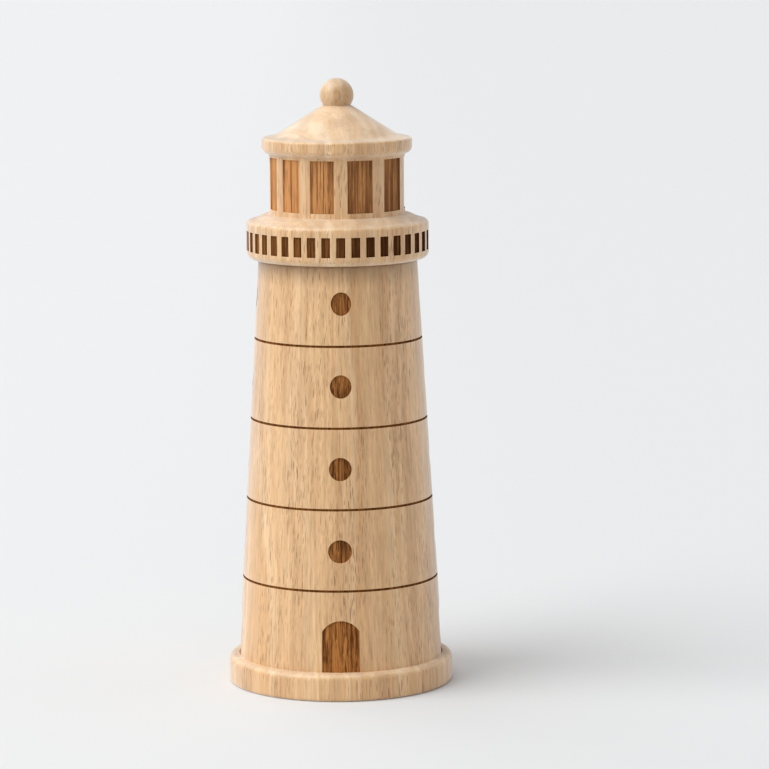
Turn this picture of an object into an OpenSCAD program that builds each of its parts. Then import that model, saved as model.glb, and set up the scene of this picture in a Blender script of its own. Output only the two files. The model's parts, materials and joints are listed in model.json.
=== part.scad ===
// Lighthouse pepper mill: a turned wooden tower, a wooden head that turns the
// spindle and lifts off for filling, and a ceramic grinder set from below.
// Origin: centre of the foot, on the table. +Z is up; the front door faces -Y.

/* [Tower] */
// Radius of the plinth
plinth_r = 34; // [33:0.5:36]
// Height of the plinth
plinth_h = 8.2; // [7.8:0.1:9]
// Radius of the plinth's upper edge
plinth_round = 2; // [1:0.25:2.5]
// Radius of the foot's lower edge
foot_round = 1; // [0.5:0.25:1.5]
// Radius of the tower where it meets the plinth
tower_base_r = 31; // [30.5:0.25:31.5]
// Radius of the tower's top edge
tower_top_r = 23.85; // [23.5:0.05:24.5]
// Height of the tower
tower_h = 128.75; // [126:0.25:130]
// Radius of the pepper chamber
chamber_r = 18; // [17.5:0.25:18.25]
// Radius of the bore that the head's tenon turns in
neck_bore_r = 19; // [18.9:0.1:19.5]
// Depth of that bore
neck_bore_depth = 15; // [14.5:0.5:18]

/* [Head] */
// Gap between the tower and the head
head_gap = 0.15; // [0.1:0.05:0.3]
// Radius of the gallery
gallery_r = 27.4; // [27:0.1:28]
// Height of the gallery's rim
gallery_h = 11.6; // [11:0.1:12]
// Radius of the gallery's lower edge
gallery_round = 2.2; // [1:0.1:2.5]
// Rise of the gallery's deck towards the lantern
deck_rise = 2; // [1:0.25:2.5]
// Radius of the lantern
lantern_r = 20.3; // [20:0.1:20.6]
// Height of the lantern's wall
lantern_h = 18.1; // [17.8:0.1:18.5]
// Radius of the roof's eave
eave_r = 22.55; // [22:0.05:23]
// Thickness of the roof's eave
eave_h = 4.8; // [4.5:0.1:5.5]
// Radius of the eave's lower edge
eave_round = 2.2; // [1:0.1:2.5]
// Height of the roof's cone above the eave
roof_h = 9.6; // [9:0.1:10]
// Radius of the roof's cone where it meets the ledge above the eave
roof_foot_r = 18.4; // [17.5:0.1:19]
// Radius of the roof's top, under the ball
roof_top_r = 4.2; // [4:0.1:4.5]
// Radius of the ball
ball_r = 5.1; // [5:0.05:5.5]
// Length of the tenon that turns in the tower's neck
tenon_len = 13.8; // [13:0.1:14]

/* [Burned artwork] */
// Depth of the burned pockets
burn_depth = 0.4; // [0.3:0.05:0.6]
// Sides of the tower that carry a door and a column of windows
sides = 4; // [1:1:4]
// Number of burned rings round the tower
ring_count = 4; // [1:1:4]
// Height of the lowest ring
ring_first = 32.55; // [32:0.05:34]
// Distance from one ring to the next
ring_pitch = 24.2; // [24:0.05:24.5]
// Width of a ring
ring_w = 0.7; // [0.4:0.05:0.8]
// Width of a window, in degrees round the tower
window_turn = 14.1; // [10:0.1:15]
// Height of a window
window_h = 6.9; // [6:0.1:7.5]
// Height of the lowest window's centre
window_first = 44.4; // [44:0.1:45]
// Distance from one window to the next
window_pitch = 24.45; // [24.2:0.05:24.5]
// Width of a door
door_w = 11.2; // [10:0.1:11.5]
// Height of a door's sides
door_side_h = 12.2; // [11:0.1:13]
// Rise of a door's arch
door_arch = 3.2; // [2.5:0.1:4]
// Drift of the column of windows round the tower, in degrees per millimetre
window_drift = 0.03; // [0:0.005:0.04]
// Number of dashes round the gallery
dash_count = 39; // [20:1:44]
// Width of a dash, in degrees round the gallery
dash_turn = 5.5; // [4:0.1:6]
// Height of a dash
dash_h = 5.9; // [5:0.1:6]
// Height of the dashes above the gallery's underside
dash_rise = 2.75; // [2.5:0.05:3]
// Turn of the dashes from the front
dash_offset = 5.7; // [0:0.1:9]
// Distance of the dashes' centre line from the head's axis
dash_shift = -1.85; // [-2:0.05:0]
// Number of panes round the lantern
pane_count = 11; // [4:1:11]
// Angle from one pane to the next, with the remainder at the back
pane_pitch = 31.7; // [31:0.1:33]
// Width of a pane, in degrees round the lantern
pane_turn = 20.7; // [18:0.1:24]
// Height of a pane
pane_h = 15.6; // [15:0.1:16]
// Height of the panes above the lantern's foot
pane_rise = 1.6; // [1.2:0.1:1.8]
// Turn of the panes from the front
pane_offset = -3.7; // [-16:0.1:16]
// Distance of the panes' centre line from the head's axis
pane_shift = -3.35; // [-3.5:0.05:0]

/* [Grinder] */
// Radius of the recess under the foot
recess_r = 24.5; // [24.3:0.1:25]
// Depth of the recess under the foot
recess_depth = 8; // [8:0.25:8.5]
// Radius of the bore that holds the grinder's housing
housing_bore_r = 19; // [18.95:0.05:19.2]
// Radius of the housing's flange
flange_r = 24; // [23:0.25:24.2]
// Thickness of the housing's flange
flange_t = 3; // [2:0.25:3]
// Radius of the housing's tube
housing_r = 18.9; // [18.5:0.05:18.9]
// Height of the housing's tube above the flange
housing_h = 35; // [34:0.5:35]
// Number of screws through the flange, and of spokes under the bush
flange_screws = 3; // [2:1:4]
// Width of the square spindle
spindle_w = 6; // [5.9:0.05:6]
// Length of the square spindle above its journal
spindle_len = 104; // [95:1:105]
// Travel of the inner burr from finest to coarsest
burr_travel = 1.05; // [0.7:0.05:1.2]
// Radius of the setting knob
knob_r = 9; // [8:0.25:9.5]
// Turns of the spring
spring_turns = 5; // [4:1:6]

/* [Hidden] */
$fn = 128;
eps = 0.01;
over = 2;              // how far a cutter runs past the face it opens
slack = 0.1;           // radial room for a piece that is pushed into a bore
running = 0.05;        // radial room of a running fit

// Colours
wood = "burlywood";
ceramic = "whitesmoke";
plastic = "dimgray";
steel = "silver";
brass = "goldenrod";

// Rounded corners
arc_steps = 6;
quarter_turn = 90;

// Tower
edge_break = 0.5;
drift_start_z = 52;
window_corners = 24;
door_rise = 0.1;

// Head, from the tower's top upwards
gallery_z = tower_h + head_gap;
deck_edge_round = 1.4;
deck_edge_z = gallery_z + gallery_h;
lantern_z = deck_edge_z + deck_rise - 0.2;
lantern_lip = 0.35;
eave_z = lantern_z + lantern_h;
eave_lip = 0.6;
roof_z = eave_z + eave_h;
roof_top_z = roof_z + roof_h;
roof_edge = 0.9;
roof_top = [roof_top_r, roof_top_z];
roof_foot = [roof_foot_r, roof_z + 0.6];
roof_ledge = [eave_r - roof_edge, roof_z];
roof_blend = 1.2;
tenon_r = neck_bore_r - 0.4;
tenon_z = gallery_z - tenon_len;
tenon_edge = 0.8;
ball_z = roof_top_z + sqrt(pow(ball_r, 2) - pow(roof_top_r, 2));
finial_tenon_r = 2.5;
finial_tenon_len = 11;

// Drive insert, screwed up into the head's tenon
insert_flange_r = 15.4;
insert_flange_t = 3;
insert_flange_z = tenon_z + 7;
insert_seat_z = insert_flange_z + insert_flange_t;
insert_r = 10.9;
insert_len = 26;
insert_bore_r = insert_r + slack;
socket_w = spindle_w + 0.2;
socket_len = 28;
grip_z = insert_seat_z + 1.2;
grip_cavity_r = 7.5;
grip_cavity_h = 2.4;
grip_window_w = 6;
grip_r = 6.9;
grip_wire = 1;
grip_mouth_w = 3;
insert_screw_at = 12.9;
insert_screw_len = 11;
insert_screw_r = 1.4;
insert_screw_head_r = 2.4;
insert_screw_head_h = 1.6;

// Grinder housing, bush and spindle
flange_z = recess_depth - flange_t;
housing_top = recess_depth + housing_h;
spider_t = 4;
spider_z = housing_top - spider_t;
burr_seat_z = recess_depth + 16;
burr_bore_r = 16.5;
throat_r = 15.6;
hub_r = 7;
spoke_w = 4;
bush_r = 4.5;
bush_flange_r = 6;
bush_flange_t = 0.5;
journal_r = 3;
journal_z = spider_z - 3;
washer_t = 0.5;
shoulder_z = housing_top + bush_flange_t + washer_t;
lower_w = 4.2;
thread_r = 2;
thread_top_z = 12;
spindle_end_z = 2.6;
spindle_top_z = shoulder_z + spindle_len;
spindle_chamfer = 0.8;
grip_groove_z = grip_z;
grip_groove_h = 2;
grip_groove_r = 3.7;
clip_t = 0.6;
clip_z = spider_z - 1;
clip_groove_r = 2.4;
clip_r = 5.5;
clip_mouth_w = 4;

// Burrs
outer_burr_z = 10;
outer_burr_r = burr_bore_r - slack;
inner_burr_bore_r = 5;
pinch_z = 16;
outer_low = [13, outer_burr_z];
outer_pinch = [11.2, pinch_z];
outer_high = [14.8, burr_seat_z];
inner_low = [12.45, outer_burr_z];
inner_pinch = [10.65, pinch_z];
inner_high = [7, burr_seat_z];
tooth_count = 24;
tooth_w = 1.1;
half_tooth = 180 / tooth_count;
retainer_t = 1.6;
retainer_r_in = 14;
carrier_z = 8.6;
carrier_top_z = 27;
carrier_flange_r = 10;
carrier_hub_r = inner_burr_bore_r - slack;
key_w = 2;
key_out = 0.9;
spring_r = 5.2;
spring_wire_r = 0.5;
spring_sides = 8;
spring_steps = 18;
seat_r = 6.5;
seat_t = 0.7;
seat_z = clip_z - seat_t;

// Setting knob
foot_clearance = 1.15;
knob_z = foot_clearance + burr_travel;
click_t = 0.4;
click_r = 7;
click_dimple_r = 0.8;
click_dimples = 3;
knob_top_z = carrier_z - click_t;
knob_grips = 12;
knob_grip_r = 1.1;
nut_r = 3.4;
nut_z = 3.2;
knob_eye_r = 3;

// Flange screws
flange_screw_at = 21;
flange_screw_r = 1.5;
flange_screw_len = 12;
flange_screw_head_r = 2.6;
flange_screw_head_h = 1.5;
recess_drive_w = 2.4;
recess_drive_h = 1;

// Radius of the tower's wall at height z
function wall_r(z) = tower_base_r
    + (tower_top_r - tower_base_r) * (z - plinth_h) / (tower_h - plinth_h);

// Points on an arc of radius r about [x, z], from angle a to angle b
function arc(x, z, r, a, b) =
    [for (i = [0 : arc_steps]) let (t = a + (b - a) * i / arc_steps)
        [x + r * cos(t), z + r * sin(t)]];

// Points on a curve from p to q that is pulled towards c
function sweep(p, c, q, steps) =
    [for (i = [0 : steps]) let (t = i / steps)
        pow(1 - t, 2) * p + 2 * t * (1 - t) * c + pow(t, 2) * q];

// The point at a distance from p on the way to q
function towards(p, q, distance) = p + (q - p) * distance / norm(q - p);

// Height of the ring with this number, counted from the bottom
function ring_z(i) = ring_first + i * ring_pitch;

// Turn of the artwork from the door's centre line at height z
function drift_at(z) = window_drift * max(0, z - drift_start_z);

module ring(r_out, r_in, h, z = 0) {
    translate([0, 0, z]) difference() {
        cylinder(r = r_out, h = h);
        translate([0, 0, -over]) cylinder(r = r_in, h = h + 2 * over);
    }
}

module square_bar(w, h, z = 0) {
    translate([-w / 2, -w / 2, z]) cube([w, w, h]);
}

module around(count, first = 0) {
    for (i = [0 : count - 1]) rotate(first + i * 360 / count) children();
}

// ---- Tower ----

module tower_form() {
    rotate_extrude() polygon(concat(
        [[0, 0]],
        arc(plinth_r - foot_round, foot_round, foot_round, -quarter_turn, 0),
        arc(plinth_r - plinth_round, plinth_h - plinth_round, plinth_round, 0, quarter_turn),
        [[tower_base_r, plinth_h]],
        [[tower_top_r, tower_h - edge_break], [tower_top_r - edge_break, tower_h], [0, tower_h]]
    ));
}

// The outer layer of the tower's wall, as deep as the burning goes
module tower_skin() {
    difference() {
        translate([0, 0, plinth_h + door_rise])
            cylinder(r = plinth_r + over, h = tower_h);
        translate([0, 0, plinth_h]) cylinder(
            r1 = wall_r(plinth_h) - burn_depth,
            r2 = wall_r(tower_h) - burn_depth,
            h = tower_h - plinth_h);
    }
}

module door_shape() {
    arch_r = (pow(door_w / 2, 2) + pow(door_arch, 2)) / (2 * door_arch);
    intersection() {
        translate([-door_w / 2, 0]) square([door_w, door_side_h + door_arch]);
        translate([0, door_side_h + door_arch - arch_r]) union() {
            circle(r = arch_r);
            translate([-door_w, -door_side_h - door_arch]) square([2 * door_w, door_side_h]);
        }
    }
}

module window_shape(w, h) {
    polygon([for (i = [0 : window_corners - 1]) let (a = 360 * i / window_corners)
        [w / 2 * cos(a), h / 2 * sin(a)]]);
}

module tower_artwork() {
    around(sides) {
        translate([0, 0, plinth_h + door_rise]) rotate([90, 0, 0])
            linear_extrude(plinth_r + over) door_shape();
        for (i = [0 : ring_count - 1]) let (z = window_first + i * window_pitch)
            translate([0, 0, z]) rotate([90, 0, drift_at(z)])
                linear_extrude(plinth_r + over)
                    window_shape(2 * wall_r(z) * sin(window_turn / 2), window_h);
    }
}

module tower() {
    color(wood) difference() {
        tower_form();
        intersection() {
            tower_skin();
            tower_artwork();
        }
        for (i = [0 : ring_count - 1])
            ring(plinth_r + over, wall_r(ring_z(i)) - burn_depth, ring_w, ring_z(i) - ring_w / 2);
        translate([0, 0, -over]) cylinder(r = recess_r, h = recess_depth + over);
        cylinder(r = housing_bore_r, h = housing_top);
        cylinder(r = chamber_r, h = tower_h + over);
        translate([0, 0, tower_h - neck_bore_depth])
            cylinder(r = neck_bore_r, h = neck_bore_depth + over);
        around(flange_screws, quarter_turn) translate([flange_screw_at, 0, 0])
            cylinder(r = flange_screw_r + running, h = flange_z + flange_screw_len + over);
    }
}

// ---- Grinder ----

module grinder_housing() {
    color(plastic) difference() {
        union() {
            translate([0, 0, flange_z]) cylinder(r = flange_r, h = flange_t);
            translate([0, 0, flange_z]) cylinder(r = housing_r, h = housing_top - flange_z);
        }
        translate([0, 0, -over]) cylinder(r = burr_bore_r, h = burr_seat_z + over);
        cylinder(r = throat_r, h = spider_z);
        difference() {
            cylinder(r = throat_r, h = housing_top + over);
            cylinder(r = hub_r, h = housing_top + 2 * over);
            around(flange_screws) translate([0, -spoke_w / 2, 0])
                cube([housing_r, spoke_w, housing_top + 2 * over]);
        }
        cylinder(r = bush_r + running, h = housing_top + over);
        around(flange_screws, quarter_turn) translate([flange_screw_at, 0, 0])
            cylinder(r = flange_screw_r + running, h = recess_depth + over);
    }
}

module spindle_bush() {
    color(brass) difference() {
        union() {
            translate([0, 0, spider_z]) cylinder(r = bush_r, h = spider_t);
            translate([0, 0, housing_top]) cylinder(r = bush_flange_r, h = bush_flange_t);
        }
        cylinder(r = journal_r + running, h = tower_h);
    }
}

// A straight groove down a burr's cone, between two [radius, z] points
module tooth(p, q) {
    slope = atan2(q[0] - p[0], q[1] - p[1]);
    length = norm(q - p) + over;
    translate([(p[0] + q[0]) / 2, 0, (p[1] + q[1]) / 2]) rotate([0, slope, 0])
        rotate(45) cube([tooth_w, tooth_w, length], center = true);
}

module outer_burr() {
    color(ceramic) difference() {
        rotate_extrude() polygon([
            [outer_burr_r, outer_burr_z], [outer_burr_r, burr_seat_z],
            outer_high, outer_pinch, outer_low
        ]);
        around(tooth_count) tooth(outer_low, outer_pinch);
        around(tooth_count / 2, half_tooth) tooth(outer_pinch, outer_high);
    }
}

module inner_burr() {
    color(ceramic) difference() {
        rotate_extrude() polygon([
            [inner_burr_bore_r, outer_burr_z], inner_low, inner_pinch, inner_high,
            [inner_burr_bore_r, burr_seat_z]
        ]);
        around(tooth_count) tooth(inner_low, inner_pinch);
        around(tooth_count / 2, half_tooth) tooth(inner_pinch, inner_high);
        square_key(key_w + 2 * slack, carrier_hub_r + key_out + slack, burr_seat_z + over, 0);
    }
}

module burr_retainer() {
    color(plastic) ring(outer_burr_r, retainer_r_in, retainer_t, outer_burr_z - retainer_t);
}

// A bar across the hub that keys the inner burr to its carrier
module square_key(w, r, h, z) {
    translate([-r, -w / 2, z]) cube([2 * r, w, h]);
}

module burr_carrier() {
    color(plastic) difference() {
        union() {
            translate([0, 0, carrier_z])
                cylinder(r = carrier_flange_r, h = outer_burr_z - carrier_z);
            translate([0, 0, carrier_z])
                cylinder(r = carrier_hub_r, h = carrier_top_z - carrier_z);
            square_key(key_w, carrier_hub_r + key_out, burr_seat_z - carrier_z, carrier_z);
        }
        square_bar(lower_w + 2 * running, tower_h);
    }
}

module screw(r, length, head_r, head_h) {
    difference() {
        union() {
            translate([0, 0, -eps]) cylinder(r = r, h = length + eps);
            translate([0, 0, -head_h]) cylinder(r = head_r, h = head_h);
        }
        translate([0, 0, -head_h - eps])
            cylinder(r = recess_drive_w / 2, h = recess_drive_h, $fn = 6);
    }
}

module housing_screws() {
    color(steel) around(flange_screws, quarter_turn)
        translate([flange_screw_at, 0, flange_z])
            screw(flange_screw_r, flange_screw_len, flange_screw_head_r, flange_screw_head_h);
}

// ---- Spindle ----

module spindle() {
    color(steel) difference() {
        union() {
            translate([0, 0, spindle_end_z])
                cylinder(r = thread_r, h = thread_top_z - spindle_end_z);
            square_bar(lower_w, journal_z - thread_top_z, thread_top_z);
            translate([0, 0, journal_z]) cylinder(r = journal_r, h = shoulder_z - journal_z);
            intersection() {
                square_bar(spindle_w, spindle_len, shoulder_z);
                union() {
                    cylinder(r = spindle_w, h = spindle_top_z - spindle_chamfer);
                    translate([0, 0, spindle_top_z - spindle_w])
                        cylinder(r1 = spindle_w, r2 = journal_r, h = spindle_w);
                }
            }
        }
        ring(spindle_w, clip_groove_r, clip_t, clip_z);
        ring(2 * spindle_w, grip_groove_r, grip_groove_h, grip_groove_z);
    }
}

module thrust_washer() {
    color(steel)
        ring(bush_flange_r, journal_r + 2 * running, washer_t, housing_top + bush_flange_t);
}

module open_ring(r_out, r_in, h, z, mouth) {
    difference() {
        ring(r_out, r_in, h, z);
        translate([0, -mouth / 2, z - over]) cube([r_out + over, mouth, h + 2 * over]);
    }
}

module retaining_clip() {
    color(steel) open_ring(clip_r, clip_groove_r + running, clip_t, clip_z, clip_mouth_w);
}

module spring_seat() {
    color(steel) ring(seat_r, journal_r + 2 * running, seat_t, seat_z);
}

// One ring of points round the spring's wire, at step i of the coil
function wire_ring(i, steps, z0, rise) =
    let (a = 360 * spring_turns * i / steps, z = z0 + rise * i / steps)
    [for (k = [0 : spring_sides - 1]) let (b = 360 * k / spring_sides)
        [(spring_r + spring_wire_r * cos(b)) * cos(a),
         (spring_r + spring_wire_r * cos(b)) * sin(a),
         z + spring_wire_r * sin(b)]];

module burr_spring() {
    steps = spring_turns * spring_steps;
    bottom = carrier_top_z + spring_wire_r;
    rise = seat_z - spring_wire_r - bottom;
    points = [for (i = [0 : steps]) each wire_ring(i, steps, bottom, rise)];
    walls = [for (i = [0 : steps - 1], k = [0 : spring_sides - 1])
        let (n = (k + 1) % spring_sides, a = i * spring_sides, b = a + spring_sides)
        each [[a + k, b + k, b + n], [a + k, b + n, a + n]]];
    first_end = [for (k = [0 : spring_sides - 1]) k];
    last_end = [for (k = [spring_sides - 1 : -1 : 0]) steps * spring_sides + k];
    color(steel) polyhedron(points, concat(walls, [first_end, last_end]));
}

// ---- Setting knob ----

module setting_knob() {
    color(plastic) difference() {
        translate([0, 0, knob_z]) cylinder(r = knob_r, h = knob_top_z - knob_z);
        around(knob_grips) translate([knob_r, 0, 0])
            cylinder(r = knob_grip_r, h = carrier_z);
        translate([0, 0, nut_z]) cylinder(r = nut_r + running, h = carrier_z);
        cylinder(r = knob_eye_r, h = carrier_z);
    }
}

module knob_nut() {
    color(brass) ring(nut_r, thread_r + running, knob_top_z - nut_z, nut_z);
}

module click_plate() {
    color(steel) difference() {
        ring(click_r, thread_r + 2 * slack, click_t, knob_top_z);
        around(click_dimples) translate([(click_r + nut_r) / 2, 0, 0])
            cylinder(r = click_dimple_r, h = carrier_z + over);
    }
}

// ---- Head ----

module head_form() {
    rotate_extrude() polygon(concat(
        [[0, tenon_z], [tenon_r - tenon_edge, tenon_z], [tenon_r, tenon_z + tenon_edge]],
        [[tenon_r, gallery_z]],
        arc(gallery_r - gallery_round, gallery_z + gallery_round, gallery_round, -quarter_turn, 0),
        arc(gallery_r - deck_edge_round, deck_edge_z - deck_edge_round, deck_edge_round,
            0, quarter_turn),
        sweep([gallery_r - 2 * deck_edge_round, deck_edge_z + deck_edge_round / 4],
              [lantern_r + deck_rise, lantern_z],
              [lantern_r + lantern_lip, lantern_z], arc_steps),
        [[lantern_r, lantern_z + lantern_lip], [lantern_r, eave_z - eave_lip]],
        [[lantern_r + lantern_lip, eave_z]],
        arc(eave_r - eave_round, eave_z + eave_round, eave_round, -quarter_turn, 0),
        arc(eave_r - roof_edge, roof_z - roof_edge, roof_edge, 0, quarter_turn),
        sweep(towards(roof_foot, roof_ledge, roof_blend), roof_foot,
              towards(roof_foot, roof_top, roof_blend), arc_steps),
        [roof_top, [0, roof_top_z]]
    ));
}

// Sector prisms at these turns from the front, about a line that is shifted
// sideways from the axis
module sectors(turns, width, r, h, z, shift) {
    reach = 2 * r;
    translate([shift, 0, z]) for (turn = turns)
        rotate(turn - quarter_turn) linear_extrude(h) polygon([
            [0, 0],
            [reach, -reach * tan(width / 2)],
            [reach, reach * tan(width / 2)]
        ]);
}

module head_artwork() {
    intersection() {
        sectors([for (i = [0 : dash_count - 1]) i * 360 / dash_count + dash_offset], dash_turn,
                gallery_r, dash_h, gallery_z + dash_rise, dash_shift);
        ring(gallery_r + over, gallery_r - burn_depth, gallery_h, gallery_z);
    }
    intersection() {
        sectors([for (i = [0 : pane_count - 1])
                     (i - (pane_count - 1) / 2) * pane_pitch + pane_offset],
                pane_turn, lantern_r, pane_h, lantern_z + pane_rise, pane_shift);
        ring(lantern_r + over, lantern_r - burn_depth, lantern_h, lantern_z);
    }
}

module head() {
    color(wood) difference() {
        head_form();
        head_artwork();
        translate([0, 0, tenon_z - over])
            cylinder(r = insert_flange_r + slack, h = insert_seat_z - tenon_z + over);
        translate([0, 0, tenon_z])
            cylinder(r = insert_bore_r, h = insert_seat_z - tenon_z + insert_len + slack);
        around(2) translate([insert_screw_at, 0, tenon_z]) cylinder(
            r = insert_screw_r + running,
            h = insert_flange_z - tenon_z + insert_screw_len + slack);
        translate([0, 0, roof_top_z - finial_tenon_len - slack])
            cylinder(r = finial_tenon_r + running, h = finial_tenon_len + over);
    }
}

module finial() {
    color(wood) union() {
        translate([0, 0, roof_top_z - finial_tenon_len])
            cylinder(r = finial_tenon_r, h = finial_tenon_len + eps);
        intersection() {
            translate([0, 0, ball_z]) sphere(r = ball_r);
            translate([0, 0, roof_top_z]) cylinder(r = ball_r + over, h = 2 * ball_r);
        }
    }
}

module drive_insert() {
    color(plastic) difference() {
        union() {
            translate([0, 0, insert_flange_z]) cylinder(r = insert_flange_r, h = insert_flange_t);
            translate([0, 0, insert_seat_z]) cylinder(r = insert_r, h = insert_len);
        }
        square_bar(socket_w, socket_len + over, insert_flange_z - over);
        translate([0, 0, grip_z]) cylinder(r = grip_cavity_r, h = grip_cavity_h);
        translate([-insert_bore_r, -grip_window_w / 2, grip_z])
            cube([2 * insert_bore_r, grip_window_w, grip_cavity_h]);
        around(2) translate([insert_screw_at, 0, 0])
            cylinder(r = insert_screw_r + running, h = insert_seat_z + over);
    }
}

module grip_ring() {
    color(steel)
        open_ring(grip_r, grip_r - grip_wire, grip_wire, grip_z + slack, grip_mouth_w);
}

module insert_screws() {
    color(steel) around(2) translate([insert_screw_at, 0, insert_flange_z])
        screw(insert_screw_r, insert_screw_len, insert_screw_head_r, insert_screw_head_h);
}

tower();
grinder_housing();
outer_burr();
burr_retainer();
housing_screws();
spindle_bush();
spindle();
thrust_washer();
retaining_clip();
spring_seat();
burr_spring();
burr_carrier();
inner_burr();
setting_knob();
knob_nut();
click_plate();
head();
finial();
drive_insert();
grip_ring();
insert_screws();
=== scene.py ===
"""Looks of the lighthouse pepper mill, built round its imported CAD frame.

The three wooden nodes are replaced by finely meshed turnings with the same
profiles and real burned recesses. Every piece has a procedural material.
Lengths are in millimetres until a mesh is made, and angles are in degrees
round the mill, from the front door (-Y) towards +X.
"""
import json
import math

import bpy
import numpy as np
from mathutils import Matrix, Vector


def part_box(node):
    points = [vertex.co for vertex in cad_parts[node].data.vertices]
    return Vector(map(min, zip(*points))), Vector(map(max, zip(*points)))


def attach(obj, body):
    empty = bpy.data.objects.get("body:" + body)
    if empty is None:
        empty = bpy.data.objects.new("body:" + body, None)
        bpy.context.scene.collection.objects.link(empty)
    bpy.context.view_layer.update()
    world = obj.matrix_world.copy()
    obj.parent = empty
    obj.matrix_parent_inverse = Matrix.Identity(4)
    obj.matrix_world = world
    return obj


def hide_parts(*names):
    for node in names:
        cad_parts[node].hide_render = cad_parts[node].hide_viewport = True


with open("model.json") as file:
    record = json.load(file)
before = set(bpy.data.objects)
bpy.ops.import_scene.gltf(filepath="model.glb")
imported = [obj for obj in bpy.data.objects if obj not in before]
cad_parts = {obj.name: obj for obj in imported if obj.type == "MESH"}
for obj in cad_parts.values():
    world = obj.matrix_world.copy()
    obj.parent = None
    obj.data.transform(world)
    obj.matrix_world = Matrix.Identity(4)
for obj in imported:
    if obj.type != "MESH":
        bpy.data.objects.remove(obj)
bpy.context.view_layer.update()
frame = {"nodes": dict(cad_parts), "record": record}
MM = 0.001

# ---- Sizes shared with the CAD, worked out from the frame where it holds them


def top(node):
    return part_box(node)[1].z / MM


def bottom(node):
    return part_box(node)[0].z / MM


def radius(node):
    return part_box(node)[1].x / MM


TOWER_TOP = top("tower")
PLINTH_R = radius("tower")
PLINTH_H = 8.2
PLINTH_ROUND = 2.0
FOOT_ROUND = 1.0
TOWER_BASE_R = 31.0
TOWER_TOP_R = 23.85
TOWER_TOP_ROUND = 0.6
CHAMBER_R = 18.0
NECK_R = 19.0
NECK_DEPTH = 15.0
HOUSING_TOP = top("grinder_housing")
FLANGE_TOP = bottom("grinder_housing") + 3.0
RECESS_R = 24.5
BROKEN_EDGE = 0.3
# Creases left by the tool where a wall meets a ledge, outwards and upwards
FOOT_CREASE = (0.15, 0.08)
DECK_CREASE = (0.1, 0.08)

HEAD_GAP = 0.15
GALLERY_Z = TOWER_TOP + HEAD_GAP
GALLERY_R = radius("head")
GALLERY_H = 11.6
GALLERY_ROUND = 2.2
DECK_ROUND = 1.4
DECK_RISE = 1.8
LANTERN_R = 20.3
LANTERN_Z = GALLERY_Z + GALLERY_H + DECK_RISE
LANTERN_H = 18.1
LANTERN_LIP = 0.35
EAVE_R = 22.55
EAVE_H = 4.8
EAVE_ROUND = 2.2
# The cove under the eave, from the lantern's wall and the eave's underside
EAVE_COVE = ((0.0, -0.6), (0.1, -0.2), (LANTERN_LIP, 0.0))
EAVE_Z = LANTERN_Z + LANTERN_H
ROOF_Z = EAVE_Z + EAVE_H
ROOF_EDGE = 0.9
ROOF_TOP_Z = top("head")
ROOF_TOP_R = 4.2
ROOF_FOOT = (18.4, ROOF_Z + 0.6)
ROOF_BLEND = 1.2
BALL_TOP = top("finial")
TENON_Z = bottom("head")
TENON_R = 18.6
TENON_EDGE = 0.8
INSERT_SEAT_Z = TENON_Z + 10.0
INSERT_FLANGE_R = 15.5
INSERT_R = 11.0
INSERT_TOP = top("drive_insert") + 0.1
FINIAL_PEG_R = 2.5
FINIAL_PEG_Z = bottom("finial")
PEG_SOCKET_R = FINIAL_PEG_R + 0.05
PEG_SOCKET_Z = FINIAL_PEG_Z - 0.1
BALL_CREASE = 0.4

BURN_DEPTH = 0.4
SIDES = 4
RING_COUNT = 4
RING_FIRST = 32.55
RING_PITCH = 24.2
RING_W = 0.7
WINDOW_FIRST = 44.4
WINDOW_PITCH = 24.45
WINDOW_TURN = 14.1
WINDOW_H = 6.9
WINDOW_DRIFT = 0.03
DRIFT_START = 52.0
DOOR_W = 11.2
DOOR_H = 15.4
DOOR_ARCH = 3.2
DOOR_RISE = 0.1
DASH_COUNT = 39
DASH_OFFSET = 5.7
DASH_TURN = 5.5
DASH_H = 5.9
DASH_Z = GALLERY_Z + 2.75
DASH_SHIFT = -1.85
PANE_COUNT = 11
PANE_PITCH = 31.7
PANE_OFFSET = -3.7
PANE_TURN = 20.7
PANE_H = 15.6
PANE_Z = LANTERN_Z + 1.6
PANE_SHIFT = -3.35

# ---- Camera: a long lens, a little above the gallery, looking down

CAMERA_DISTANCE = 1096
CAMERA_HEIGHT = 249
CAMERA_PITCH = 8.244
CAMERA_YAW = 0.7216
CAMERA_ROLL = 0.36
CAMERA_LENS = 171.6

# ---- Mesh resolution

COLUMNS_PER_SIDE = 64
PANEL_ROWS = 24
ARC_STEPS = 8
SPREAD = (0.0, 0.02, 0.06, 0.12, 0.22, 0.36, 0.55, 0.76, 1.0)
# A recess's edge, as (distance in from its outline, depth): softened, then steep
RECESS_EDGE = ((0.0, 0.0), (0.03, 0.015), (0.05, 0.06), (0.07, BURN_DEPTH - 0.05), (0.13, BURN_DEPTH))
FLOOR_RINGS = (0.8, 0.6, 0.4, 0.2)
SMOOTH_ANGLE = 32


def wall_r(z):
    share = (z - PLINTH_H) / (TOWER_TOP - PLINTH_H)
    return TOWER_BASE_R + (TOWER_TOP_R - TOWER_BASE_R) * share


def arc(r, z, size, start, end, steps=ARC_STEPS):
    """Points of a round edge about (r, z), from one angle to another."""
    turns = np.radians(np.linspace(start, end, steps + 1))
    return [(r + size * math.cos(t), z + size * math.sin(t)) for t in turns]


def sweep(p, pull, q, steps):
    """Points from p to q on a curve that is pulled towards a third point."""
    p, pull, q = map(np.array, (p, pull, q))
    ts = np.linspace(0, 1, steps + 1)
    return [tuple((1 - t) ** 2 * p + 2 * t * (1 - t) * pull + t * t * q) for t in ts]


def towards(p, q, distance):
    """The point at a distance from p on the way to q."""
    share = distance / math.dist(p, q)
    return p[0] + (q[0] - p[0]) * share, p[1] + (q[1] - p[1]) * share


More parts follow.
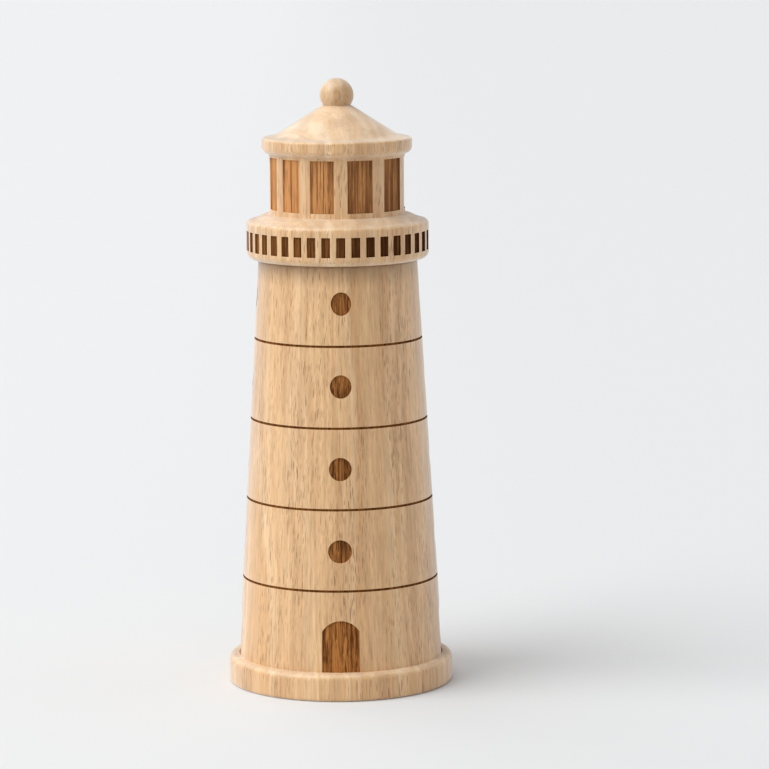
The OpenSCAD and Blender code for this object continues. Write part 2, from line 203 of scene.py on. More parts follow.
def ladder(r0, z0, r1, z1, steps):
    """Points on a straight stretch, without its first point."""
    ts = np.linspace(0, 1, steps + 1)[1:]
    return [(r0 + (r1 - r0) * t, z0 + (z1 - z0) * t) for t in ts]


# The slot of bare wood in every turned piece
WOOD = 0


class Turning:
    """A turned wooden piece: rows of vertices round the axis, and what fills them."""

    def __init__(self, columns):
        self.columns = list(columns)
        self.points = []
        self.faces = []
        self.slots = []

    def point(self, turn, r, z):
        t = math.radians(turn)
        self.points.append((r * math.sin(t), -r * math.cos(t), z))
        return len(self.points) - 1

    def row(self, r, z):
        return [self.point(turn, r, z) for turn in self.columns]

    def face(self, corners, slot=WOOD):
        self.faces.append(corners)
        self.slots.append(slot)

    def strip(self, low, high, slot=WOOD, skip=()):
        """Quads between two rows, apart from the columns in skip."""
        n = len(low)
        for i in range(n):
            if i not in skip:
                j = (i + 1) % n
                self.face((low[i], low[j], high[j], high[i]), slot)

    def stack(self, profile, slot=WOOD):
        """Rows along a profile, joined one to the next. Gives the first and the last row."""
        rows = [self.row(r, z) for r, z in profile]
        for low, high in zip(rows, rows[1:]):
            self.strip(low, high, slot)
        return rows[0], rows[-1]

    def cap(self, row, z, up):
        """Closes a row with a fan about a point on the axis."""
        centre = self.point(0, 0, z)
        n = len(row)
        for i in range(n):
            pair = (row[i], row[(i + 1) % n])
            self.face((*pair, centre) if up else (*pair[::-1], centre))

    def build(self, name, body, node, materials):
        mesh = bpy.data.meshes.new(name)
        mesh.from_pydata([(x * MM, y * MM, z * MM) for x, y, z in self.points], [], self.faces)
        mesh.polygons.foreach_set("material_index", self.slots)
        mesh.polygons.foreach_set("use_smooth", [True] * len(self.faces))
        mesh.set_sharp_from_angle(angle=math.radians(SMOOTH_ANGLE))
        mesh.validate()
        piece = bpy.data.objects.new(name, mesh)
        bpy.context.scene.collection.objects.link(piece)
        for material in materials:
            mesh.materials.append(material)
        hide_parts(node)
        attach(piece, body)
        return piece


# ---- Outlines of the burned shapes, as the distance from their centre each way


def window_reach(turn):
    """An oval: its width is an angle round the tower, so it narrows with the wall."""
    def reach(direction, wall):
        half_w = wall * math.sin(math.radians(turn / 2))
        half_h = WINDOW_H / 2
        c, s = math.cos(direction), math.sin(direction)
        return 1 / math.hypot(c / half_w, s / half_h)
    return reach, ()


def door_reach():
    """A rectangle under a flat arch, seen from half its height."""
    half_w, half_h = DOOR_W / 2, DOOR_H / 2
    arch_r = (half_w ** 2 + DOOR_ARCH ** 2) / (2 * DOOR_ARCH)
    arch_z = half_h - arch_r
    spring = half_h - DOOR_ARCH

    def reach(direction, wall):
        c, s = math.cos(direction), math.sin(direction)
        to_side = half_w / max(abs(c), 1e-9)
        if to_side * s > spring:
            along = arch_z * s
            return along + math.sqrt(along ** 2 + arch_r ** 2 - arch_z ** 2)
        return min(to_side, half_h / max(-s, 1e-9))

    corners = [math.atan2(z, x) for x, z in
               ((half_w, -half_h), (half_w, spring), (-half_w, spring), (-half_w, -half_h))]
    return reach, corners


def snap(directions, corners):
    """Turns the nearest direction to each corner into the corner's own."""
    for corner in corners:
        gaps = [abs(math.remainder(d - corner, math.tau)) for d in directions]
        directions[int(np.argmin(gaps))] = corner


def panel(turning, border, turn, z, shape, slot):
    """Fills a border of vertices round a burned recess whose centre is at (turn, z)."""
    reach, corners = shape
    wall = wall_r(z)
    outer = []
    for i in border:
        x, y, h = turning.points[i]
        angle = math.degrees(math.atan2(x, -y)) - turn
        outer.append((math.radians(math.remainder(angle, 360)) * wall, h - z))
    directions = [math.atan2(h, x) for x, h in outer]
    snap(directions, corners)
    rim = [reach(d, wall) for d in directions]

    def place(x, h, depth):
        height = z + h
        return turning.point(turn + math.degrees(x / wall), wall_r(height) - depth, height)

    def join(a, b, face_slot):
        n = len(a)
        for i in range(n):
            j = (i + 1) % n
            turning.face((a[j], a[i], b[i], b[j]), face_slot)

    edge = [place(r * math.cos(d), r * math.sin(d), 0) for r, d in zip(rim, directions)]
    inner = edge
    for share in SPREAD[1:-1]:
        ring = [place(r * math.cos(d) * (1 - share) + x * share,
                      r * math.sin(d) * (1 - share) + h * share, 0)
                for r, d, (x, h) in zip(rim, directions, outer)]
        join(ring, inner, WOOD)
        inner = ring
    join(border, inner, WOOD)
    last = edge
    for inset, depth in RECESS_EDGE[1:]:
        ring = [place((r - inset) * math.cos(d), (r - inset) * math.sin(d), depth)
                for r, d in zip(rim, directions)]
        join(last, ring, slot)
        last = ring
    for share in FLOOR_RINGS:
        ring = [place(r * share * math.cos(d), r * share * math.sin(d), BURN_DEPTH)
                for r, d in zip(rim, directions)]
        join(last, ring, slot)
        last = ring
    centre = place(0, 0, BURN_DEPTH)
    n = len(last)
    for i in range(n):
        turning.face((last[(i + 1) % n], last[i], centre), slot)


def side_posts(turning, low, high):
    """Vertices up the tower at the corners between its sides, from one row to the next."""
    z0, z1 = turning.points[low[0]][2], turning.points[high[0]][2]
    posts = []
    for side in range(SIDES):
        column = side * COLUMNS_PER_SIDE
        turn = turning.columns[column]
        between = [turning.point(turn, wall_r(z), z) for z in
                   np.linspace(z0, z1, PANEL_ROWS + 1)[1:-1]]
        posts.append([low[column], *between, high[column]])
    return posts


def band(turning, low, high, z, shape, slot):
    """The tower's wall between two rows, with one recess on each side."""
    posts = side_posts(turning, low, high)
    n = len(low)
    for side in range(SIDES):
        first = side * COLUMNS_PER_SIDE
        columns = [(first + i) % n for i in range(COLUMNS_PER_SIDE + 1)]
        left, right = posts[side], posts[(side + 1) % SIDES]
        border = [low[c] for c in columns[:-1]]
        border += right[:-1]
        border += [high[c] for c in columns[:0:-1]]
        border += left[:0:-1]
        drift = WINDOW_DRIFT * max(0.0, z - DRIFT_START)
        panel(turning, border, side * 360 / SIDES + drift, z, shape, slot)


DOOR_BURN, WINDOW_BURN, RING_BURN = 1, 2, 3


def make_tower(materials):
    count = SIDES * COLUMNS_PER_SIDE
    turning = Turning(-180 / SIDES + np.arange(count) * 360 / count)
    foot_in = RECESS_R + BROKEN_EDGE
    profile = [(RECESS_R, FLANGE_TOP), (RECESS_R, BROKEN_EDGE), (foot_in, 0)]
    profile += ladder(foot_in, 0, PLINTH_R - FOOT_ROUND, 0, 4)
    profile += arc(PLINTH_R - FOOT_ROUND, FOOT_ROUND, FOOT_ROUND, -90, 0)[1:]
    profile += ladder(PLINTH_R, FOOT_ROUND, PLINTH_R, PLINTH_H - PLINTH_ROUND, 4)
    profile += arc(PLINTH_R - PLINTH_ROUND, PLINTH_H - PLINTH_ROUND, PLINTH_ROUND, 0, 90)[1:]
    crease_r, crease_z = FOOT_CREASE
    profile += [(TOWER_BASE_R + crease_r, PLINTH_H), (wall_r(PLINTH_H), PLINTH_H + crease_z)]
    foot, low = turning.stack(profile)
    levels = [RING_FIRST + i * RING_PITCH for i in range(RING_COUNT)]
    shape, centre, slot = door_reach(), PLINTH_H + DOOR_RISE + DOOR_H / 2, DOOR_BURN
    for i, level in enumerate(levels):
        groove = []
        for inset, depth in RECESS_EDGE[:-1]:
            groove.append((level - RING_W / 2 + inset, depth))
        floor = [(2 * level - z, depth) for z, depth in groove[::-1]]
        rows = [turning.row(wall_r(z) - depth, z) for z, depth in groove + floor]
        band(turning, low, rows[0], centre, shape, slot)
        for a, b in zip(rows, rows[1:]):
            turning.strip(a, b, RING_BURN)
        low = rows[-1]
        shape, centre = window_reach(WINDOW_TURN), WINDOW_FIRST + i * WINDOW_PITCH
        slot = WINDOW_BURN
    shoulder_z = TOWER_TOP - TOWER_TOP_ROUND
    shoulder = turning.row(wall_r(shoulder_z), shoulder_z)
    band(turning, low, shoulder, centre, shape, slot)
    neck_floor = TOWER_TOP - NECK_DEPTH
    inside = arc(TOWER_TOP_R - TOWER_TOP_ROUND, shoulder_z, TOWER_TOP_ROUND, 0, 90)
    inside += [(NECK_R + BROKEN_EDGE, TOWER_TOP), (NECK_R, TOWER_TOP - BROKEN_EDGE)]
    inside += [(NECK_R, neck_floor)]
    inside += [(CHAMBER_R, neck_floor)]
    inside += ladder(CHAMBER_R, neck_floor, CHAMBER_R, HOUSING_TOP, 6)
    inside += [(NECK_R, HOUSING_TOP), (NECK_R, FLANGE_TOP)]
    first, last = turning.stack(inside[1:])
    turning.strip(shoulder, first)
    turning.strip(last, foot)
    return turning.build("tower_wood", "mill_body", "tower", materials)


# ---- Head


def turned_about(turn, shift, r):
    """The turn at which a ray from a line beside the axis meets a wall of radius r."""
    t = math.radians(turn)
    reach = -shift * math.sin(t) + math.sqrt(r ** 2 - (shift * math.cos(t)) ** 2)
    return math.degrees(math.atan2(shift + reach * math.sin(t), reach * math.cos(t)))


def recess_spans(turns, width, shift, r):
    """Start and end of each recess round a wall, as real turns of the wall."""
    return [(turned_about(t - width / 2, shift, r) % 360,
             turned_about(t + width / 2, shift, r) % 360) for t in turns]


DASHES = recess_spans([DASH_OFFSET + i * 360 / DASH_COUNT for i in range(DASH_COUNT)],
                      DASH_TURN, DASH_SHIFT, GALLERY_R)
PANES = recess_spans([PANE_OFFSET + (i - (PANE_COUNT - 1) / 2) * PANE_PITCH
                      for i in range(PANE_COUNT)], PANE_TURN, PANE_SHIFT, LANTERN_R)


def head_columns():
    """Every edge of a dash or a pane, and even steps between them."""
    edges = sorted({round(t, 6) for span in DASHES + PANES for t in span})
    columns = []
    widest = 1.25
    for a, b in zip(edges, edges[1:] + [edges[0] + 360]):
        steps = max(1, math.ceil((b - a) / widest))
        columns += [a + (b - a) * i / steps for i in range(steps)]
    return columns


def sunk_wall(turning, spans, r, low, high, z0, z1, steps, slot):
    """A straight wall between two rows of vertices, with a recess in each span from z0 to z1."""
    heights = [z0 + (z1 - z0) * i / steps for i in range(steps + 1)]
    rows = [turning.row(r, z) for z in heights]
    turning.strip(low, rows[0])
    turning.strip(rows[-1], high)
    columns = turning.columns
    n = len(columns)
    sunk = set()
    for start, end in spans:
        first = next(i for i, c in enumerate(columns) if abs(math.remainder(c - start, 360)) < 1e-4)
        width = (end - start) % 360
        across = [first]
        while (columns[across[-1] % n] - start) % 360 < width - 1e-4 or len(across) == 1:
            across.append(across[-1] + 1)
        sunk.update(i % n for i in across[:-1])
        turns = [start + min((columns[i % n] - start) % 360, width) for i in across]
        turns[0] = start
        recess(turning, [[row[i % n] for i in across] for row in rows], turns, heights, r, slot)
    for a, b in zip(rows, rows[1:]):
        turning.strip(a, b, WOOD, sunk)


def recess(turning, rim, turns, heights, r, slot):
    """Sinks a grid of cells: walls round its border, and a floor."""
    def clamp(values, inset):
        return [min(max(v, values[0] + inset), values[-1] - inset) for v in values]

    def border(grid):
        return (grid[0][:-1] + [line[-1] for line in grid[:-1]]
                + grid[-1][:0:-1] + [line[0] for line in grid[:0:-1]])

    last = border(rim)
    grid = rim
    for inset, depth in RECESS_EDGE[1:]:
        hs = clamp(heights, inset)
        ts = clamp(turns, math.degrees(inset / r))
        if (inset, depth) == RECESS_EDGE[-1]:
            grid = [[turning.point(t, r - depth, h) for t in ts] for h in hs]
            ring = border(grid)
        else:
            corners = border([[(t, h) for t in ts] for h in hs])
            ring = [turning.point(t, r - depth, h) for t, h in corners]
        n = len(ring)
        for i in range(n):
            j = (i + 1) % n
            turning.face((last[i], last[j], ring[j], ring[i]), slot)
        last = ring
    for low, high in zip(grid, grid[1:]):
        for i in range(len(low) - 1):
            turning.face((low[i], low[i + 1], high[i + 1], high[i]), slot)


GALLERY_BURN, LANTERN_BURN = 1, 2


def make_head(materials):
    turning = Turning(head_columns())
    under = [(INSERT_R, INSERT_TOP), (INSERT_R, INSERT_SEAT_Z)]
    under += [(INSERT_FLANGE_R, INSERT_SEAT_Z), (INSERT_FLANGE_R, TENON_Z + BROKEN_EDGE)]
    under += [(INSERT_FLANGE_R + BROKEN_EDGE, TENON_Z), (TENON_R - TENON_EDGE, TENON_Z)]
    under += [(TENON_R, TENON_Z + TENON_EDGE), (TENON_R, GALLERY_Z - BROKEN_EDGE)]
    under += [(TENON_R + BROKEN_EDGE, GALLERY_Z)]
    under += ladder(*under[-1], GALLERY_R - GALLERY_ROUND, GALLERY_Z, 3)
    under += arc(GALLERY_R - GALLERY_ROUND, GALLERY_Z + GALLERY_ROUND, GALLERY_ROUND, -90, 0)[1:]
    socket, low = turning.stack(under)
    turning.cap(socket, INSERT_TOP, False)

    deck_z = GALLERY_Z + GALLERY_H
    deck = arc(GALLERY_R - DECK_ROUND, deck_z - DECK_ROUND, DECK_ROUND, 0, 78)
    deck += sweep((GALLERY_R - 2 * DECK_ROUND, deck_z + DECK_ROUND / 4),
                  (LANTERN_R + 2, LANTERN_Z),
                  (LANTERN_R + LANTERN_LIP, LANTERN_Z), ARC_STEPS)
    crease_r, crease_z = DECK_CREASE
    deck += [(LANTERN_R + crease_r, LANTERN_Z + crease_z), (LANTERN_R, LANTERN_Z + LANTERN_LIP)]
    high, lantern_low = turning.stack(deck)
    sunk_wall(turning, DASHES, GALLERY_R, low, high, DASH_Z, DASH_Z + DASH_H, 3, GALLERY_BURN)

    roof = [(LANTERN_R + out, EAVE_Z + up) for out, up in EAVE_COVE]
    roof += arc(EAVE_R - EAVE_ROUND, EAVE_Z + EAVE_ROUND, EAVE_ROUND, -90, 0)
    roof += arc(EAVE_R - ROOF_EDGE, ROOF_Z - ROOF_EDGE, ROOF_EDGE, 0, 90)
    roof_top = (ROOF_TOP_R, ROOF_TOP_Z)
    roof += sweep(towards(ROOF_FOOT, (EAVE_R - ROOF_EDGE, ROOF_Z), ROOF_BLEND), ROOF_FOOT,
                  towards(ROOF_FOOT, roof_top, ROOF_BLEND), ARC_STEPS)
    roof += ladder(*roof[-1], *roof_top, 10)
    roof += [(PEG_SOCKET_R, ROOF_TOP_Z), (PEG_SOCKET_R, PEG_SOCKET_Z)]
    high, peg = turning.stack(roof)
    sunk_wall(turning, PANES, LANTERN_R, lantern_low, high, PANE_Z, PANE_Z + PANE_H, 6,
              LANTERN_BURN)
    turning.cap(peg, PEG_SOCKET_Z, True)
    return turning.build("head_wood", "mill_head", "head", materials)


def make_finial(materials):
    count = 96
    turning = Turning(np.arange(count) * 360 / count)
    ball_r = (BALL_TOP - ROOF_TOP_Z) / 2 * (1 + (ROOF_TOP_R / (BALL_TOP - ROOF_TOP_Z)) ** 2)
    ball_z = BALL_TOP - ball_r
    start = math.degrees(math.asin((ROOF_TOP_Z + 0.05 - ball_z) / ball_r))
    profile = [(FINIAL_PEG_R - BROKEN_EDGE, FINIAL_PEG_Z), (FINIAL_PEG_R, FINIAL_PEG_Z + BROKEN_EDGE)]
    profile += [(FINIAL_PEG_R, ROOF_TOP_Z), (ROOF_TOP_R - BALL_CREASE, ROOF_TOP_Z)]
    profile += arc(0, ball_z, ball_r, start, 88, 40)
    low, high = turning.stack(profile)
    turning.cap(low, FINIAL_PEG_Z, False)
    turning.cap(high, BALL_TOP, True)
    return turning.build("finial_wood", "mill_head", "finial", materials)


# ---- Materials


class Shader:
    """A short way to write a node tree: each method adds a node and gives its output."""

    def __init__(self, name):
        self.material = bpy.data.materials.new(name)
        self.material.use_nodes = True
        self.tree = self.material.node_tree
        self.tree.nodes.clear()
        self.output = self.tree.nodes.new("ShaderNodeOutputMaterial")
        self.bsdf = self.tree.nodes.new("ShaderNodeBsdfPrincipled")
        self.link(self.bsdf.outputs[0], self.output.inputs["Surface"])
        coordinates = self.tree.nodes.new("ShaderNodeTexCoord").outputs
        self.place = self.scaled(coordinates["Object"], 1 / MM)
        self.facing = coordinates["Normal"]

    def link(self, a, b):
        self.tree.links.new(a, b)

    def feed(self, socket, value):
        if isinstance(value, bpy.types.NodeSocket):
            self.link(value, socket)
        else:
            socket.default_value = value

    def scaled(self, vector, factor):
        node = self.tree.nodes.new("ShaderNodeVectorMath")
        node.operation = "SCALE"
        self.link(vector, node.inputs[0])
        node.inputs["Scale"].default_value = factor
        return node.outputs["Vector"]

    def math(self, operation, a, b=0.0):
        node = self.tree.nodes.new("ShaderNodeMath")
        node.operation = operation
        self.feed(node.inputs[0], a)
        self.feed(node.inputs[1], b)
        return node.outputs[0]

    def stretch(self, across, along, lean=0.0, offset=(0.0, 0.0, 0.0)):
        """Coordinates with grain: fine across the fibre, long along it."""
        node = self.tree.nodes.new("ShaderNodeMapping")
        node.inputs["Scale"].default_value = (1 / across, 1 / across, 1 / along)
        node.inputs["Rotation"].default_value = (lean, lean / 2, 0)
        node.inputs["Location"].default_value = offset
        self.link(self.place, node.inputs["Vector"])
        return node.outputs[0]

    def noise(self, vector, scale=1.0, detail=2.0, rough=0.5, warp=0.0):
        node = self.tree.nodes.new("ShaderNodeTexNoise")
        self.link(vector, node.inputs["Vector"])
        node.inputs["Scale"].default_value = scale
        node.inputs["Detail"].default_value = detail
        node.inputs["Roughness"].default_value = rough
        node.inputs["Distortion"].default_value = warp
        return node.outputs["Fac"]

    def cells(self, vector):
        node = self.tree.nodes.new("ShaderNodeTexVoronoi")
        self.link(vector, node.inputs["Vector"])
        node.inputs["Scale"].default_value = 1.0
        return node.outputs["Distance"], node.outputs["Color"]

    def ramp(self, value, low, high, out_low=0.0, out_high=1.0, smooth=True):
        node = self.tree.nodes.new("ShaderNodeMapRange")
        node.interpolation_type = "SMOOTHSTEP" if smooth else "LINEAR"
        for name, given in (("Value", value), ("From Min", low), ("From Max", high),
                            ("To Min", out_low), ("To Max", out_high)):
            self.feed(node.inputs[name], given)
        return node.outputs[0]

    def mix(self, share, a, b, how="MIX"):
        node = self.tree.nodes.new("ShaderNodeMix")
        node.data_type = "RGBA"
        node.blend_type = how
        self.feed(node.inputs["Factor"], share)
        for name, given in (("A", a), ("B", b)):
            socket = next(s for s in node.inputs if s.name == name and s.type == "RGBA")
            self.feed(socket, given)
        return next(s for s in node.outputs if s.type == "RGBA")

    def separate(self, vector):
        node = self.tree.nodes.new("ShaderNodeSeparateXYZ")
        self.link(vector, node.inputs[0])
        return node.outputs

    def bump(self, height, depth_mm, strength=1.0):
        node = self.tree.nodes.new("ShaderNodeBump")
        node.inputs["Strength"].default_value = strength
        node.inputs["Distance"].default_value = depth_mm * MM
        self.link(height, node.inputs["Height"])
        self.link(node.outputs[0], self.bsdf.inputs["Normal"])

    def set(self, **values):
        for name, value in values.items():
            self.feed(self.bsdf.inputs[name.replace("_", " ")], value)


def tone(r, g, b):
    return (r, g, b, 1.0)


WOOD_LIGHT = tone(0.83, 0.555, 0.305)
WOOD_MID = tone(0.735, 0.437, 0.2)
WOOD_DARK = tone(0.46, 0.235, 0.095)
PORE = tone(0.21, 0.082, 0.024)
# Painted highlight: a paler, whiter tint for faces turned up towards the top light
PAINTED_TOP_HIGHLIGHT = tone(0.99, 1.14, 1.4)
# The tree's pith, well outside the blank: its distances from the piece's axis
PITH_X, PITH_Y = 46.0, 31.0
# The stand-in for the soft shadow under the gallery: its depth and its deepest shade
DUSK_DEPTH, DUSK_SHADE = 6.5, 0.56
GRAIN_LEAN = 0.11


def pores(shader, across, along, size, keep, offset):
    """Cut vessels: slim dark strokes along the grain, some stronger than others."""
    distance, colour = shader.cells(shader.stretch(across, along, GRAIN_LEAN, offset))
    stroke = shader.ramp(distance, size * 0.55, size, 1.0, 0.0)
    strength = shader.separate(colour)[0]
    return shader.math("MULTIPLY", stroke, shader.ramp(strength, keep, 1.0, 0.0, 1.0, False))


def wood_layers(shader, seed):
    """Colour of the plain wood, with a painted highlight on its up-facing faces, and the share of it
    that is cut vessels.
    """
    warp = shader.noise(shader.stretch(28, 160, offset=(seed, 0, 0)), detail=2)
    x, y, _ = shader.separate(shader.place)
    east = shader.math("ADD", x, PITH_X + seed)
    north = shader.math("ADD", y, PITH_Y)
    squares = shader.math("ADD", shader.math("MULTIPLY", east, east),
                          shader.math("MULTIPLY", north, north))
    ring = shader.math("ADD", shader.math("SQRT", squares),
                       shader.math("MULTIPLY", warp, 22.0))
    combine = shader.tree.nodes.new("ShaderNodeCombineXYZ")
    shader.link(ring, combine.inputs[0])
    growth = shader.noise(combine.outputs[0], scale=0.3, detail=3, rough=0.55)
    streak = shader.noise(shader.stretch(5.5, 190, GRAIN_LEAN, (0, seed, 0)), detail=3, rough=0.6)
    slope = shader.math("ABSOLUTE", shader.separate(shader.facing)[2])
    upright = shader.ramp(slope, 0.3, 0.75, 1.0, 0.3)
    fibre = shader.noise(shader.stretch(0.8, 40, GRAIN_LEAN, (0, 0, seed)), detail=4, rough=0.7)
    line = shader.noise(shader.stretch(0.46, 24, GRAIN_LEAN, (seed, 5.0, 0)), detail=2, rough=0.6)
    colour = shader.mix(shader.ramp(growth, 0.38, 0.64), WOOD_MID, WOOD_LIGHT)
    zone = shader.ramp(streak, 0.42, 0.62)
    heart = shader.math("MULTIPLY", shader.ramp(x, -2, 6), shader.ramp(x, 22, 12))
    colour = shader.mix(shader.math("MULTIPLY", heart, 0.2), colour, WOOD_DARK)
    colour = shader.mix(shader.math("MULTIPLY", zone, 0.35), colour, WOOD_DARK)
    shade = shader.ramp(fibre, 0.25, 0.75, 0.77, 1.16, False)
    colour = shader.mix(upright, colour, shader.mix(1.0, colour, shade, "MULTIPLY"))
    # Painted highlight: up-facing faces are made paler and whiter where the top light falls on them
    colour = shader.mix(shader.math("SUBTRACT", 1.0, upright), colour, PAINTED_TOP_HIGHLIGHT, "MULTIPLY")
    drawn = shader.ramp(line, 0.56, 0.68)
    weight = shader.math("ADD", shader.math("MULTIPLY", zone, 0.5), 0.34)
    drawn = shader.math("MULTIPLY", shader.math("MULTIPLY", drawn, weight), upright)
    colour = shader.mix(drawn, colour, WOOD_DARK)
    wide = pores(shader, 0.56, 8.0, 0.34, 0.12, (seed, 3.0, 0.4))
    fine = pores(shader, 0.4, 4.0, 0.42, 0.1, (2.0, seed, 0.1))
    vessels = shader.math("MAXIMUM", wide, shader.math("MULTIPLY", fine, 0.75))
    crowd = shader.noise(shader.stretch(7, 60, offset=(seed, 9.0, 0)), detail=1)
    vessels = shader.math("MULTIPLY", vessels, shader.ramp(crowd, 0.35, 0.62, 0.3, 1.0))
    vessels = shader.math("MULTIPLY", vessels, upright)
    return colour, vessels, fibre


def plain_wood(name, seed, tint, dusk_z=None):
    """Bare waxed wood in a tint of its own, with a painted soft shadow that ends at dusk_z."""
    shader = Shader(name)
    colour, vessels, fibre = wood_layers(shader, seed)
    colour = shader.mix(1.0, colour, tint, "MULTIPLY")
    if dusk_z is not None:
        z = shader.separate(shader.place)[2]
        dusk = shader.ramp(z, dusk_z - DUSK_DEPTH, dusk_z, 1.0, DUSK_SHADE, False)
        colour = shader.mix(1.0, colour, dusk, "MULTIPLY")
    colour = shader.mix(shader.math("MULTIPLY", vessels, 0.95), colour, PORE)
    height = shader.math("SUBTRACT", shader.math("MULTIPLY", fibre, 0.25), vessels)
    shader.bump(height, 0.05, 0.6)
    shader.set(Base_Color=colour, Roughness=shader.ramp(fibre, 0.2, 0.8, 0.4, 0.54, False))
    shader.set(Specular_IOR_Level=0.5, Sheen_Weight=0.75, Sheen_Roughness=0.38,
               Coat_Weight=0.3, Coat_Roughness=0.35)
    return shader.material


def burned_wood(name, seed, light, dark, lean, across=0.85, along=26, painted_side_shade=0.0):
    """Laser-burned wood: brown with darker streaks along the grain, and a painted shade that darkens it
    towards +X.
    """
    shader = Shader(name)
    _, vessels, fibre = wood_layers(shader, seed)
    streak = shader.noise(shader.stretch(across, along, lean), detail=4, rough=0.7, warp=0.2)
    patch = shader.noise(shader.stretch(4.5, 12, offset=(0, 0, seed)), detail=1)
    level = shader.math("ADD", shader.math("MULTIPLY", streak, 0.8),
                        shader.math("MULTIPLY", patch, 0.2))
    side = shader.separate(shader.place)[0]
    # Painted shade: the burn darkens towards +X, the side turned away from the key light
    level = shader.math("ADD", level, shader.ramp(side, -15, 15, painted_side_shade, -painted_side_shade))
    colour = shader.mix(shader.ramp(level, 0.34, 0.62), dark, light)
    line = shader.noise(shader.stretch(0.5, 32, lean, (seed, 0, 4.0)), detail=2, rough=0.6)
    colour = shader.mix(shader.ramp(line, 0.56, 0.62, 0.0, 0.85), colour, dark)
    colour = shader.mix(shader.math("MULTIPLY", vessels, 0.7), colour,
                        tuple(0.4 * c for c in dark[:3]) + (1.0,))
    height = shader.math("SUBTRACT", shader.math("MULTIPLY", streak, 0.6), vessels)
    shader.bump(height, 0.08, 0.7)
    shader.set(Base_Color=colour, Roughness=shader.ramp(fibre, 0.2, 0.8, 0.6, 0.76, False))
    shader.set(Specular_IOR_Level=0.06)
    return shader.material


def moulded_plastic(name):
    shader = Shader(name)
    grain = shader.noise(shader.place, scale=7.0, detail=3)
    cloud = shader.noise(shader.place, scale=0.25, detail=2)
    colour = shader.mix(shader.ramp(cloud, 0.3, 0.7),
                        tone(0.018, 0.018, 0.02), tone(0.03, 0.03, 0.033))
    shader.bump(grain, 0.02, 0.5)
    shader.set(Base_Color=colour, Roughness=shader.ramp(grain, 0.3, 0.7, 0.42, 0.58, False))
    return shader.material


def fired_ceramic(name):
    shader = Shader(name)
    speck = shader.noise(shader.place, scale=3.5, detail=4, rough=0.7)
    colour = shader.mix(shader.ramp(speck, 0.58, 0.7, 0.0, 0.5),
                        tone(0.83, 0.81, 0.76), tone(0.58, 0.54, 0.48))
    shader.bump(speck, 0.03, 0.5)
    shader.set(Base_Color=colour, Roughness=shader.ramp(speck, 0.3, 0.7, 0.4, 0.6, False))
    return shader.material


def metal(name, light, dark, across, along, rough):
    """Drawn or turned metal: fine lines, with a little dulling between them."""
    shader = Shader(name)
    lines = shader.noise(shader.stretch(across, along), detail=4, rough=0.6)
    dull = shader.noise(shader.place, scale=0.4, detail=2)
    colour = shader.mix(shader.ramp(lines, 0.3, 0.7), dark, light)
    shader.bump(lines, 0.01, 0.4)
    shader.set(Base_Color=colour, Metallic=1.0,
               Roughness=shader.ramp(dull, 0.3, 0.7, rough - 0.06, rough + 0.08, False))
    return shader.material


def make_tower_materials():
    """In the order of the slots WOOD, DOOR_BURN, WINDOW_BURN and RING_BURN."""
    return [plain_wood("tower_wood", 0.0, tone(1.0, 1.0, 1.0), TOWER_TOP),
            burned_wood("door_burn", 0.0, tone(0.48, 0.195, 0.052), tone(0.10, 0.027, 0.005), 0.08),
            burned_wood("window_burn", 3.0, tone(0.42, 0.17, 0.047), tone(0.065, 0.018, 0.004), 0.08),
            burned_wood("ring_burn", 0.0, tone(0.30, 0.11, 0.02), tone(0.10, 0.03, 0.004), 0.0, 1.1, 8)]


def make_head_materials():
    """In the order of the slots WOOD, GALLERY_BURN and LANTERN_BURN."""
    return [plain_wood("head_wood", 7.0, tone(1.02, 1.04, 1.08)),
            burned_wood("gallery_burn", 7.0, tone(0.21, 0.08, 0.02), tone(0.052, 0.015, 0.003), 0.0,
                        painted_side_shade=0.1),
            burned_wood("lantern_burn", 7.0, tone(0.62, 0.29, 0.105), tone(0.2, 0.08, 0.028), 0.2,
                        painted_side_shade=0.1)]


def make_part_materials():
    """Materials of the carried-over CAD nodes, by slot."""
    return {
        "grinder_plastic": moulded_plastic("grinder_plastic"),
        "burr_ceramic": fired_ceramic("burr_ceramic"),
        "spindle_aluminium": metal("spindle_aluminium", tone(0.8, 0.81, 0.82),
                                   tone(0.6, 0.61, 0.63), 0.12, 30, 0.34),
        "small_steel": metal("small_steel", tone(0.62, 0.62, 0.63),
                             tone(0.42, 0.42, 0.44), 0.3, 0.3, 0.28),
        "bush_brass": metal("bush_brass", tone(0.78, 0.57, 0.25),
                            tone(0.6, 0.4, 0.15), 3, 0.1, 0.3),
    }


def dress_parts(parts):
    """Gives each carried-over CAD node the material of its slot in the record."""
    slots = {s["node"]: s["material_slot"] for s in frame["record"]["subparts"]}
    for name, node in frame["nodes"].items():
        if not node.hide_render:
            node.data.materials.clear()
            node.data.materials.append(parts[slots[name]])


# ---- Studio


def make_floor():
    half = 30.0
    mesh = bpy.data.meshes.new("floor")
    corners = [(-half, -half, 0), (half, -half, 0), (half, half, 0), (-half, half, 0)]
    mesh.from_pydata(corners, [], [(0, 1, 2, 3)])
    floor = bpy.data.objects.new("floor", mesh)
    bpy.context.scene.collection.objects.link(floor)
    shader = Shader("floor")
    fleck = shader.noise(shader.place, scale=0.02, detail=2)
    side = shader.separate(shader.place)[0]
    # Painted shade: the floor darkens slightly towards +X, standing in for the light falling off across
    # the backdrop
    shade = shader.ramp(side, -150, 150, 0.73, 0.69)
    paper = shader.mix(fleck, tone(0.975, 0.985, 1.0), tone(0.99, 1, 1))
    shader.set(Base_Color=shader.mix(1.0, paper, shade, "MULTIPLY"), Roughness=0.9)
    shader.set(Specular_IOR_Level=0.1)
    mesh.materials.append(shader.material)


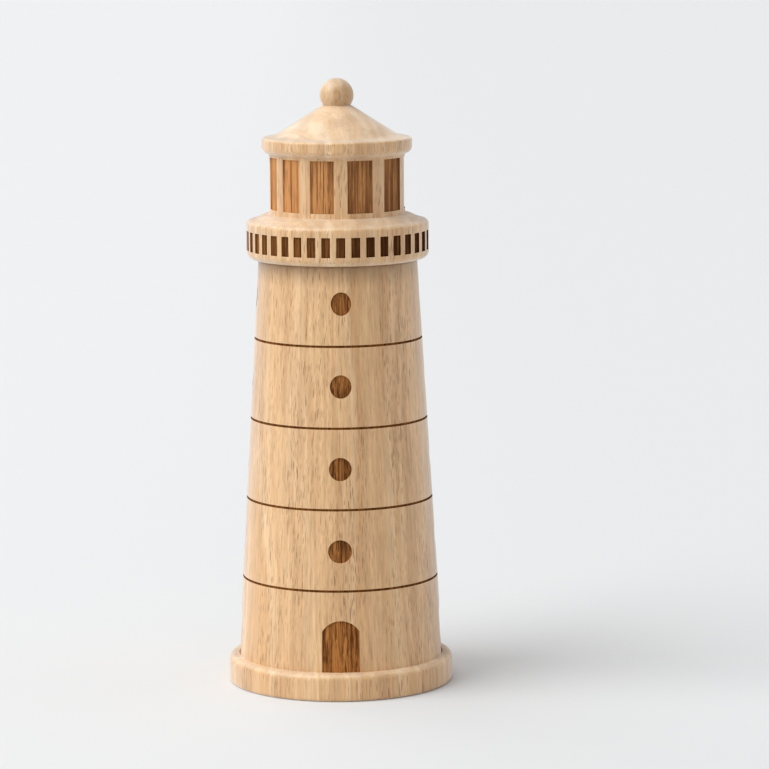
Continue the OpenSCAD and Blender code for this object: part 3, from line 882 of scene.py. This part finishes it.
def make_sun(name, azimuth, elevation, strength, softness, colour):
    """Parallel soft light that comes from this azimuth (0 is the front, 90 the right)."""
    data = bpy.data.lights.new(name, "SUN")
    data.energy = strength
    data.angle = math.radians(softness)
    data.color = colour
    light = bpy.data.objects.new(name, data)
    a, e = math.radians(azimuth), math.radians(elevation)
    source = Vector((math.sin(a) * math.cos(e), -math.cos(a) * math.cos(e), math.sin(e)))
    light.rotation_mode = "QUATERNION"
    light.rotation_quaternion = source.to_track_quat("Z", "Y")
    bpy.context.scene.collection.objects.link(light)


def make_lights():
    world = bpy.data.worlds.new("studio")
    world.use_nodes = True
    background = world.node_tree.nodes["Background"]
    background.inputs["Color"].default_value = (0.97, 0.98, 1.0, 1.0)
    background.inputs["Strength"].default_value = 0.42
    bpy.context.scene.world = world
    make_sun("key", -66, 39, 1.75, 52, (0.985, 0.99, 0.99))
    make_sun("top", -62, 70, 1.25, 62, (1.0, 0.995, 0.985))
    make_sun("fill", 98, 20, 0.24, 60, (1.0, 1.0, 1.0))
    make_sun("rim", -148, 24, 0.5, 50, (1.0, 1.0, 1.0))
    bpy.context.scene.view_settings.view_transform = "Standard"


def make_camera():
    data = bpy.data.cameras.new("camera")
    data.lens = CAMERA_LENS
    data.sensor_width = 36
    data.clip_start = 0.05
    data.clip_end = 100
    camera = bpy.data.objects.new("camera", data)
    bpy.context.scene.collection.objects.link(camera)
    yaw, pitch, roll = map(math.radians, (CAMERA_YAW, CAMERA_PITCH, CAMERA_ROLL))
    forward = Vector((math.sin(yaw) * math.cos(pitch), math.cos(yaw) * math.cos(pitch),
                      -math.sin(pitch)))
    right = forward.cross(Vector((0, 0, 1))).normalized()
    up = right.cross(forward)
    turned_right = right * math.cos(roll) - up * math.sin(roll)
    turned_up = up * math.cos(roll) + right * math.sin(roll)
    turn = Matrix((turned_right, turned_up, -forward)).transposed().to_4x4()
    place = Vector((0, -CAMERA_DISTANCE, CAMERA_HEIGHT)) * MM
    camera.matrix_world = Matrix.Translation(place) @ turn
    bpy.context.scene.camera = camera


make_camera()
make_lights()
make_floor()
make_tower(make_tower_materials())
make_head(make_head_materials())
make_finial([plain_wood("finial_wood", 15.0, tone(0.84, 0.86, 0.9))])
dress_parts(make_part_materials())
